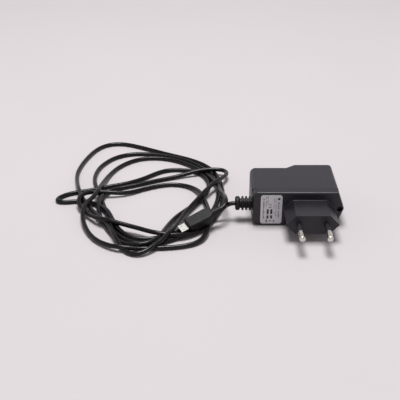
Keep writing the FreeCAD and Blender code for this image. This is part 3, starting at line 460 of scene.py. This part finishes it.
def shrunk_sleeve():
    """Shrunk PVC sleeve on an aluminium can: dark blue sides and a bare, brighter metal top."""
    material, tree = blank("sleeved_aluminium_can")
    facing = add(tree, "ShaderNodeNewGeometry")
    split = add(tree, "ShaderNodeSeparateXYZ", {"Vector": (facing, "Normal")})
    top = add(tree, "ShaderNodeMath", {0: (split, "Z"), 1: 0.9}, operation="GREATER_THAN")
    place = add(tree, "ShaderNodeTexCoord")
    shrink = add(tree, "ShaderNodeTexNoise", {
        "Vector": (place, "Object"), "Scale": 1 / (2 * MM), "Detail": 2.0})
    sleeve = add(tree, "ShaderNodeMix", {
        FACTOR: (shrink, "Fac"), FIRST: linear("161c34"), SECOND: linear("242c4c")}, data_type="RGBA")
    colour = add(tree, "ShaderNodeMix", {
        FACTOR: (top, "Value"), FIRST: (sleeve, MIXED), SECOND: linear("b9babd")}, data_type="RGBA")
    shader = add(tree, "ShaderNodeBsdfPrincipled", {
        "Base Color": (colour, MIXED), "Metallic": (top, "Value"), "Roughness": 0.32, "IOR": 1.5})
    add(tree, "ShaderNodeOutputMaterial", {"Surface": (shader, "BSDF")})
    return material


def pale_floor(stage):
    """Smooth painted board: pale, nearly even, with a trace of paint texture."""
    material, tree = blank("painted_board")
    place = add(tree, "ShaderNodeTexCoord")
    clouds = add(tree, "ShaderNodeTexNoise", {
        "Vector": (place, "Object"), "Scale": 1 / (120 * MM), "Detail": 3.0})
    base = linear(stage.floor_colour)
    colour = add(tree, "ShaderNodeMix", {
        FACTOR: (clouds, "Fac"), FIRST: shaded(base, 0.96), SECOND: base}, data_type="RGBA")
    shader = add(tree, "ShaderNodeBsdfPrincipled", {
        "Base Color": (colour, MIXED), "Roughness": 0.62, "IOR": 1.45})
    add(tree, "ShaderNodeOutputMaterial", {"Surface": (shader, "BSDF")})
    return material


def dress(material, *nodes):
    """Give CAD nodes their finish."""
    for name in nodes:
        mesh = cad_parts[name].data
        mesh.materials.clear()
        mesh.materials.append(material)


def piece(name, data, material):
    """Link a new object to the scene, with its finish."""
    made = bpy.data.objects.new(name, data)
    bpy.context.scene.collection.objects.link(made)
    data.materials.append(material)
    return made


# ---------------------------------------------------------------- case, label, pins


class CHARGER_OT_case(bpy.types.Operator):
    """Finish the two shells and the screw that holds them"""
    bl_idname = "charger.case"
    bl_label = "Case"

    def execute(self, context):
        dress(moulded_abs(context.scene.charger_case), "front_shell", "rear_shell")
        dress(screw_steel_as_hole_shade(), "case_screw")
        return {"FINISHED"}


# Columns of the label's print, each read upwards: its middle from the left edge and the height of its
# letters, in millimetres; where it starts and ends, as shares of the label's height; and the share of
# strokes that are printed.
PRINT_COLUMNS = [(2.2, 1.0, 0.16, 0.86, 0.9), (3.9, 0.6, 0.60, 0.95, 0.7), (4.9, 0.6, 0.66, 0.95, 0.6),
                 (9.4, 0.6, 0.30, 0.88, 0.6), (10.6, 0.6, 0.22, 0.88, 0.6),
                 (12.6, 1.1, 0.22, 0.76, 0.85)]
# Solid marks: middle from the left edge and from the bottom, width and height. Millimetres.
PRINT_BLOCKS = [(5.0, 9.4, 1.4, 3.8), (7.5, 9.4, 1.4, 3.8), (5.0, 5.2, 1.4, 2.6), (7.5, 5.2, 1.4, 2.6),
                (4.2, 2.2, 0.8, 2.2), (6.8, 2.2, 1.8, 0.6), (9.2, 2.2, 0.6, 1.8),
                (6.6, 12.9, 1.8, 0.5), (6.6, 14.8, 1.8, 0.5), (12.5, 19.2, 1.6, 1.6)]


STROKE_THICKNESS = (0.25, 0.6)  # least and most, as shares of the letters' height
STROKE_REACHES = (0.5, 0.8, 1.0)
STROKE_GAP = 0.25
PRINT_SEED = 7


def printed_bars(width, height):
    """Every printed bar, as (left, bottom, right, top) in metres from the label's lower left corner."""
    chance = random.Random(PRINT_SEED)
    bars = []
    for across, letter, start, end, density in PRINT_COLUMNS:
        upwards = start * height
        while upwards < end * height:
            stroke = letter * MM * chance.uniform(*STROKE_THICKNESS)
            reach = letter * MM * chance.choice(STROKE_REACHES)
            left = across * MM - letter * MM / 2
            if chance.random() < density:
                bars.append((left, upwards, left + reach, upwards + stroke))
            upwards += stroke + letter * MM * STROKE_GAP
    for across, up, wide, tall in PRINT_BLOCKS:
        bars.append(((across - wide / 2) * MM, (up - tall / 2) * MM,
                     (across + wide / 2) * MM, (up + tall / 2) * MM))
    return [bar for bar in bars if bar[2] < width and bar[3] < height]


class CHARGER_OT_label(bpy.types.Operator):
    """Finish the rating label and lay its print on it, as plain bars and blocks"""
    bl_idname = "charger.label"
    bl_label = "Label"

    def execute(self, context):
        settings = context.scene.charger_label
        dress(metallised_film(settings), "rating_label")
        low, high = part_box("rating_label")
        mesh = bmesh.new()
        face_y = low[1]
        for left, bottom, right, top in printed_bars(high[0] - low[0], high[2] - low[2]):
            corners = [mesh.verts.new((low[0] + x, face_y, low[2] + z))
                       for x, z in ((left, bottom), (right, bottom), (right, top), (left, top))]
            mesh.faces.new(corners)
        raised = bmesh.ops.extrude_face_region(mesh, geom=mesh.faces[:])
        moved = [part for part in raised["geom"] if isinstance(part, bmesh.types.BMVert)]
        bmesh.ops.translate(mesh, verts=moved, vec=(0, -settings.ink_lift, 0))
        bmesh.ops.recalc_face_normals(mesh, faces=mesh.faces[:])
        data = bpy.data.meshes.new("label_print")
        mesh.to_mesh(data)
        mesh.free()
        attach(piece("label_print", data, screen_ink(settings)), "root")
        return {"FINISHED"}


class CHARGER_OT_pins(bpy.types.Operator):
    """Finish the two plug pins, their sleeves and the plate that holds them"""
    bl_idname = "charger.pins"
    bl_label = "Pins"

    def execute(self, context):
        settings = context.scene.charger_pins
        dress(nickel_plated_brass(settings), "live_pin", "neutral_pin")
        dress(moulded_nylon(settings), "live_pin_sleeve", "neutral_pin_sleeve", "pin_retainer")
        return {"FINISHED"}


# ---------------------------------------------------------------- cord

# Points from the strain relief's end, in metres: x and y from it, and z from the floor.
LEAD_ROUTE = [(0, 0, 0.013), (-0.0042, 0, 0.013), (-0.0084, -0.0006, 0.0096), (-0.0126, -0.0024, 0.0054),
              (-0.018, -0.0058, 0.0033), (-0.0244, -0.011, 0.0033)]
TAIL_ROUTE = [(-0.01035, -0.00881, 0.01302), (-0.0072, -0.00728, 0.014), (-0.0063, -0.003, 0.0158),
              (-0.0066, 0.003, 0.0157), (-0.0072, 0.0104, 0.0134), (-0.0082, 0.0185, 0.0106),
              (-0.0098, 0.027, 0.008)]
PLUG_TIP = (-0.038, -0.0223, 0.0042)

# The small plug as the turns feel it: balls along its axis and on both sides of its wide parts.
PLUG_STATIONS = np.arange(1, 33, 1.5) * MM  # from its tip
PLUG_SHELL_END, PLUG_GRIP_END = 5.5 * MM, 25.5 * MM
SHELL_BALL, GRIP_BALL, NECK_BALL = 1.2 * MM, 3.6 * MM, 2.6 * MM
PLUG_SIDES = (-1.8 * MM, 0, 1.8 * MM)

CORNER_CUTS = 5
END_POINTS = 60  # the lead and the tail each end within this many points of the line's ends
SETTLING_STEPS, QUICK_STEPS = 360, 60
SEARCH_EVERY = 8  # steps between two searches for strands that may touch
STRAND_SEARCH, PLUG_SEARCH = 2.2, 4  # how far the searches look, in diameters
SAME_STRAND = 3.5  # points closer than this along the cord don't push each other, in diameters
FALLING_SHARE = 0.75  # of the steps; after them the turns only sink a little
FALL, SINK = 0.05, 0.01  # in one step, in diameters
SHIFT_SMOOTHING, HEIGHT_SMOOTHING, LAST_EASING = 40, 5, 4
SHIFT_KEPT = 0.98
PUSHES_PER_STEP = 3
CROWD_POWER = 0.7  # how far a push is shared out when it comes from many sides
PUSH_WEIGHTS = (1, 1, 2)  # crossing cords mostly part upwards and downwards: it's the shorter way

# Where each turn of the coil passes over the floor, in millimetres from the strain relief's end.
# Nothing ties the turns, so each lies in its own way: one bows out on the left, one on the right.
TURNS = [
    [(-27, -18), (-36, -25), (-44, -32), (-59, -37), (-73, -34), (-81, -23), (-87, -9), (-90, 4),
     (-94, 17), (-100, 40), (-106, 57), (-105, 78), (-99, 91), (-92, 101), (-75, 108), (-51, 102),
     (-34, 93), (-20, 77), (-12, 59), (-10, 40), (-11, 22), (-15, 6)],
    [(-22, -10), (-34, -19), (-48, -28), (-60, -32), (-72, -29), (-81, -20), (-86, -6), (-91, 7),
     (-98, 16), (-104, 23), (-114, 25), (-124, 21), (-132, 23), (-130, 28), (-124, 35), (-114, 39),
     (-103, 42), (-95, 47), (-82, 51), (-68, 60), (-59, 70), (-49, 77), (-35, 76), (-24, 71),
     (-18, 59), (-17, 45), (-22, 32), (-28, 19), (-35, 9)],
    [(-41, 1), (-45, -8), (-49, -21), (-51, -33), (-60, -42), (-73, -40), (-81, -30), (-87, -19),
     (-92, -8), (-97, 6), (-98, 20), (-96, 31), (-91, 43), (-75, 48), (-57, 58), (-41, 64), (-29, 69),
     (-17, 71), (-5, 72), (-2, 63), (-10, 49), (-17, 39), (-23, 26), (-30, 14)],
    [(-36, 1), (-41, -17), (-46, -32), (-53, -40), (-59, -47), (-66, -51), (-73, -47), (-77, -40),
     (-82, -29), (-88, -13), (-97, -1), (-104, 12), (-112, 27), (-117, 46), (-121, 68), (-119, 86),
     (-115, 102), (-110, 116), (-102, 125), (-89, 127), (-69, 116), (-50, 104), (-31, 94), (-18, 82),
     (-11, 65), (-8, 44), (-8, 24), (-12, 6)],
    [(-19, -9), (-27, -21), (-38, -29), (-54, -29), (-66, -21), (-80, -16), (-93, -11), (-103, 0),
     (-110, 10), (-114, 19), (-110, 28), (-106, 33), (-97, 33), (-87, 33), (-78, 35), (-69, 42),
     (-58, 48), (-46, 52), (-34, 49), (-26, 40), (-22, 27), (-19, 12), (-17, -7)],
    [(-19, -17), (-20, -27), (-26, -36), (-36, -39), (-47, -41), (-60, -41), (-76, -45), (-88, -38),
     (-97, -29), (-104, -15), (-108, 1), (-106, 15), (-100, 25), (-98, 51), (-95, 67), (-89, 82),
     (-76, 96), (-60, 99), (-44, 94), (-30, 82), (-21, 71), (-15, 58), (-11, 44)],
]
TOP_RUN = range(66, 80)  # the places, counted from the first, of the run that lies over all the others
# Heights before the turns settle, in diameters.
FIRST_LEVEL, RISE_PER_TURN, TOP_LEVEL = 0.5, 0.55, 5


def rounded(points, times):
    """The line with its corners cut over and over, which nears a spline's smooth curve."""
    for _ in range(times):
        near, far = 0.75 * points[:-1] + 0.25 * points[1:], 0.25 * points[:-1] + 0.75 * points[1:]
        points = np.vstack([points[:1], np.stack([near, far], axis=1).reshape(-1, 3), points[-1:]])
    return points


def smoothed(values, times):
    """The values with each one eased towards its neighbours, over and over; the ends stay."""
    values = values.copy()
    for _ in range(times):
        values[1:-1] = (values[:-2] + 2 * values[1:-1] + values[2:]) / 4
    return values


def evenly_spaced(points, spacing):
    """Points at equal distances along the line."""
    travelled = np.append(0, np.cumsum(np.linalg.norm(np.diff(points, axis=0), axis=1)))
    stops = np.linspace(0, travelled[-1], int(travelled[-1] / spacing))
    return np.column_stack([np.interp(stops, travelled, points[:, axis]) for axis in range(3)])


def wound_turns(diameter):
    """The coil before it settles: each turn a little above the one before, and one run above all."""
    points = []
    for turn, places in enumerate(TURNS):
        for step, (x, y) in enumerate(places):
            climbed = FIRST_LEVEL + RISE_PER_TURN * (turn + step / len(places))
            level = TOP_LEVEL if len(points) in TOP_RUN else climbed
            points.append((x * MM, y * MM, level * diameter))
    return points


def plug_core():
    """The middles and radii of the balls that stand for the small plug."""
    tip, neck = Vector(PLUG_TIP), Vector(TAIL_ROUTE[0])
    axis = (neck - tip).normalized()
    side = axis.cross(Vector((0, 0, 1))).normalized()
    points, radii = [], []
    for along in PLUG_STATIONS:
        on_shell, on_neck = along < PLUG_SHELL_END, along > PLUG_GRIP_END
        for across in (0,) if on_neck else PLUG_SIDES:
            points.append(tip + axis * along + side * across)
            radii.append(SHELL_BALL if on_shell else NECK_BALL if on_neck else GRIP_BALL)
    return np.array(points), np.array(radii)


def shared_push(count, movers, pushes):
    """Add up the pushes on each point, less for a point that is pushed from many sides."""
    total, times = np.zeros((count, 3)), np.zeros(count)
    np.add.at(total, movers, pushes)
    np.add.at(times, movers, 1)
    return total / np.maximum(times, 1)[:, None] ** CROWD_POWER


def settled(points, held, diameter, steps):
    """Let the turns down until they rest on the floor and on each other, without passing through."""
    home, points = points, points.copy()
    count, free = len(points), ~held
    travelled = np.append(0, np.cumsum(np.linalg.norm(np.diff(points, axis=0), axis=1)))
    apart = np.triu(np.abs(travelled[:, None] - travelled) > SAME_STRAND * diameter)
    core, core_radii = plug_core()
    for step in range(steps):
        if step % SEARCH_EVERY == 0:
            gaps = np.linalg.norm(points[:, None] - points, axis=2)
            one, other = np.nonzero((gaps < STRAND_SEARCH * diameter) & apart)
            plug_gaps = np.linalg.norm(points[:, None] - core, axis=2)
            at_plug, plug_part = np.nonzero(plug_gaps < PLUG_SEARCH * diameter)
        points[free, 2] -= diameter * (FALL if step < FALLING_SHARE * steps else SINK)
        if step < steps - SEARCH_EVERY:
            # the cord is springy: it shifts sideways and climbs over a long stretch, never at one point
            shift = smoothed(SHIFT_KEPT * (points - home)[:, :2], SHIFT_SMOOTHING)
            height = smoothed(points[:, 2], HEIGHT_SMOOTHING)
            points[free, :2] = (home[:, :2] + shift)[free]
            points[free, 2] = height[free]
        for _ in range(PUSHES_PER_STEP):
            between = points[one] - points[other]
            gap = np.linalg.norm(between, axis=1)
            tight = gap < diameter
            away = between[tight] * PUSH_WEIGHTS
            push = away / np.linalg.norm(away, axis=1)[:, None] * (diameter - gap[tight])[:, None]
            a, b = one[tight], other[tight]
            yielding = np.maximum(free[a].astype(float) + free[b], 1)[:, None]
            both = np.vstack([push / yielding, -push / yielding])
            points += free[:, None] * shared_push(count, np.append(a, b), both)
            # the plug was laid down last, so the turns give way beside it or under it
            between = points[at_plug] - core[plug_part]
            between[:, 2] = -np.abs(between[:, 2])
            gap = np.linalg.norm(between, axis=1)
            room = core_radii[plug_part] + diameter / 2
            tight = gap < room
            push = between[tight] / gap[tight][:, None] * (room[tight] - gap[tight])[:, None]
            points += free[:, None] * shared_push(count, at_plug[tight], push)
            points[free, 2] = np.maximum(points[free, 2], diameter / 2)
    for _ in range(LAST_EASING):
        eased = (points[:-2] + 2 * points[1:-1] + points[2:]) / 4
        points[1:-1][free[1:-1]] = eased[free[1:-1]]
    return points


def cord_points(settings):
    """The cord's control points from the strain relief: its lead, the settled coil and its tail."""
    lead, tail = np.array(LEAD_ROUTE), np.array(TAIL_ROUTE[::-1])
    route = rounded(np.vstack([lead, wound_turns(settings.diameter), tail]), CORNER_CUTS)
    line = evenly_spaced(route, settings.spacing)
    first = np.argmin(np.linalg.norm(line[:END_POINTS] - lead[-1], axis=1)) + 1
    last = len(line) - END_POINTS + np.argmin(np.linalg.norm(line[-END_POINTS:] - tail[0], axis=1))
    held = np.ones(len(line), bool)
    held[first:last] = False
    line = settled(line, held, settings.diameter, steps=SETTLING_STEPS)
    return np.vstack([lead, line[first + 1:last - 1:2], tail])


class CHARGER_OT_cord(bpy.types.Operator):
    """Wind and settle the cord as one spline, from the strain relief to the small plug"""
    bl_idname = "charger.cord"
    bl_label = "Cord"

    def execute(self, context):
        settings = context.scene.charger_cord
        low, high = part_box("strain_relief")
        exit_point = np.array((low[0], (low[1] + high[1]) / 2, 0))
        points = cord_points(settings) + exit_point
        curve = bpy.data.curves.new("cord", "CURVE")
        curve.dimensions = "3D"
        curve.bevel_depth = settings.diameter / 2
        curve.bevel_resolution = 5
        curve.resolution_u = 3
        curve.use_fill_caps = True
        spline = curve.splines.new("NURBS")
        spline.points.add(len(points) - 1)
        for control, point in zip(spline.points, points):
            control.co = (*point, 1)
        spline.order_u = 4
        spline.use_endpoint_u = True
        cord = piece("cord", curve, extruded_pvc(settings))
        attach(cord, "root")
        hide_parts("cord_lead", "cord_coil", "cord_tail")
        return {"FINISHED"}


class CHARGER_OT_cord_ends(bpy.types.Operator):
    """Finish the strain relief and the small plug at the cord's ends"""
    bl_idname = "charger.cord_ends"
    bl_label = "Cord ends"

    def execute(self, context):
        dress(moulded_pvc(context.scene.charger_cord), "strain_relief", "plug_overmould")
        dress(tinned_steel(), "plug_shell", "plug_latches")
        insulator = moulded_polymer("liquid_crystal_polymer", "161616", "222224", 0.45, 0.3 * MM)
        dress(insulator, "plug_tongue")
        dress(gold_plate(), "plug_contacts")
        return {"FINISHED"}


# ---------------------------------------------------------------- electronics


class CHARGER_OT_board(bpy.types.Operator):
    """Finish the circuit board and the parts soldered to it"""
    bl_idname = "charger.board"
    bl_label = "Circuit board"

    def execute(self, context):
        dress(phenolic_laminate(), "circuit_board")
        dress(banded_resistor(), "fusible_resistor")
        dress(moulded_polymer("moulded_epoxy", "17171a", "242428", 0.5, 0.4 * MM), "clamp_diode",
              "output_diode", "rectifier_diodes", "controller_chip", "reference_chip", "optocoupler")
        dress(shrunk_sleeve(), "input_capacitors", "output_capacitors")
        dress(moulded_polymer("dipped_ceramic", "2c5f93", "3f78ad", 0.35, 0.8 * MM), "y_capacitor",
              "clamp_capacitor")
        dress(moulded_polymer("silicone_rubber_wire", "8c1d1d", "a32a26", 0.48, 0.6 * MM), "mains_leads")
        dress(moulded_polymer("pvc_wire_cover", "171717", "242424", 0.42, 0.6 * MM), "output_leads")
        return {"FINISHED"}


class CHARGER_OT_transformer(bpy.types.Operator):
    """Finish the transformer and the ferrite chokes"""
    bl_idname = "charger.transformer"
    bl_label = "Transformer"

    def execute(self, context):
        dress(moulded_polymer("sintered_ferrite", "2b2b2e", "3d3d41", 0.55, 0.3 * MM),
              "transformer_core_front", "transformer_core_rear", "line_choke", "output_choke")
        bobbin = moulded_polymer("phenolic_bobbin", "2a1c16", "38261d", 0.4, 0.5 * MM)
        dress(bobbin, "transformer_bobbin")
        dress(enamelled_copper(), "transformer_winding")
        dress(wrapped_tape(), "transformer_tape")
        return {"FINISHED"}


# ---------------------------------------------------------------- stage


LAMP_PLACE, LAMP_TARGET, LAMP_SIZE = (-0.1, 0.2, 1.8), (-0.06, 0.03, 0.01), 0.8
WALLS_UP_TO, CEILING_FROM = 0.4, 0.75  # height of the room's light, as its direction's share upwards
FLOOR_HALF_WIDTH = 3


def soft_lamp(name, place, target, size, power):
    """A square lamp turned to the target."""
    light = bpy.data.lights.new(name, "AREA")
    light.shape = "SQUARE"
    light.size = size
    light.energy = power
    lamp = bpy.data.objects.new(name, light)
    lamp.location = place
    lamp.rotation_euler = (Vector(target) - Vector(place)).to_track_quat("-Z", "Y").to_euler()
    bpy.context.scene.collection.objects.link(lamp)


class CHARGER_OT_stage(bpy.types.Operator):
    """Set the pale floor, the soft lamp, the room's light and the camera"""
    bl_idname = "charger.stage"
    bl_label = "Stage"

    def execute(self, context):
        settings = context.scene.charger_stage
        mesh = bmesh.new()
        bmesh.ops.create_grid(mesh, x_segments=1, y_segments=1, size=FLOOR_HALF_WIDTH)
        data = bpy.data.meshes.new("floor")
        mesh.to_mesh(data)
        mesh.free()
        data.materials.append(pale_floor(settings))
        floor = bpy.data.objects.new("floor", data)
        context.scene.collection.objects.link(floor)

        soft_lamp("lamp", LAMP_PLACE, LAMP_TARGET, LAMP_SIZE, settings.lamp_power)
        world = bpy.data.worlds.new("room")
        world.use_nodes = True
        tree = world.node_tree
        # pale walls, lit by windows all round, and a darker ceiling
        upwards = add(tree, "ShaderNodeSeparateXYZ", {
            "Vector": (add(tree, "ShaderNodeTexCoord"), "Generated")})
        height = add(tree, "ShaderNodeMapRange", {
            "Value": (upwards, "Z"), "From Min": WALLS_UP_TO, "From Max": CEILING_FROM,
            "To Min": settings.walls, "To Max": settings.ceiling}, interpolation_type="SMOOTHSTEP")
        tree.nodes["Background"].inputs["Color"].default_value = linear("f2f0f4")
        tree.links.new(height.outputs["Result"], tree.nodes["Background"].inputs["Strength"])
        context.scene.world = world
        context.scene.view_settings.view_transform = "Standard"

        camera = bpy.data.cameras.new("camera")
        camera.sensor_width = 36
        camera.lens = settings.lens
        holder = bpy.data.objects.new("camera", camera)
        holder.location = settings.camera_place
        holder.rotation_euler = (math.pi / 2 - settings.camera_pitch, 0, 0)
        context.scene.collection.objects.link(holder)
        context.scene.camera = holder
        return {"FINISHED"}


class CHARGER_PT_panel(bpy.types.Panel):
    """The charger's pieces and their settings"""
    bl_idname = "CHARGER_PT_panel"
    bl_label = "Mains charger"
    bl_space_type = "VIEW_3D"
    bl_region_type = "UI"
    bl_category = "Charger"

    def draw(self, context):
        for step in STEPS:
            self.layout.operator(step.bl_idname)
        for name, group in SETTINGS.items():
            box = self.layout.box()
            for setting in group.__annotations__:
                box.prop(getattr(context.scene, name), setting)


STEPS = [CHARGER_OT_case, CHARGER_OT_label, CHARGER_OT_pins, CHARGER_OT_cord, CHARGER_OT_cord_ends,
         CHARGER_OT_board, CHARGER_OT_transformer, CHARGER_OT_stage]


def register():
    for made in (*SETTINGS.values(), *STEPS, CHARGER_PT_panel):
        bpy.utils.register_class(made)
    for name, group in SETTINGS.items():
        setattr(bpy.types.Scene, name, bpy.props.PointerProperty(type=group))


def unregister():
    for name in SETTINGS:
        delattr(bpy.types.Scene, name)
    for made in (CHARGER_PT_panel, *reversed(STEPS), *reversed(SETTINGS.values())):
        bpy.utils.unregister_class(made)


def main():
    register()
    for step in STEPS:
        group, name = step.bl_idname.split(".")
        getattr(getattr(bpy.ops, group), name)()


if __name__ == "__main__":
    main()
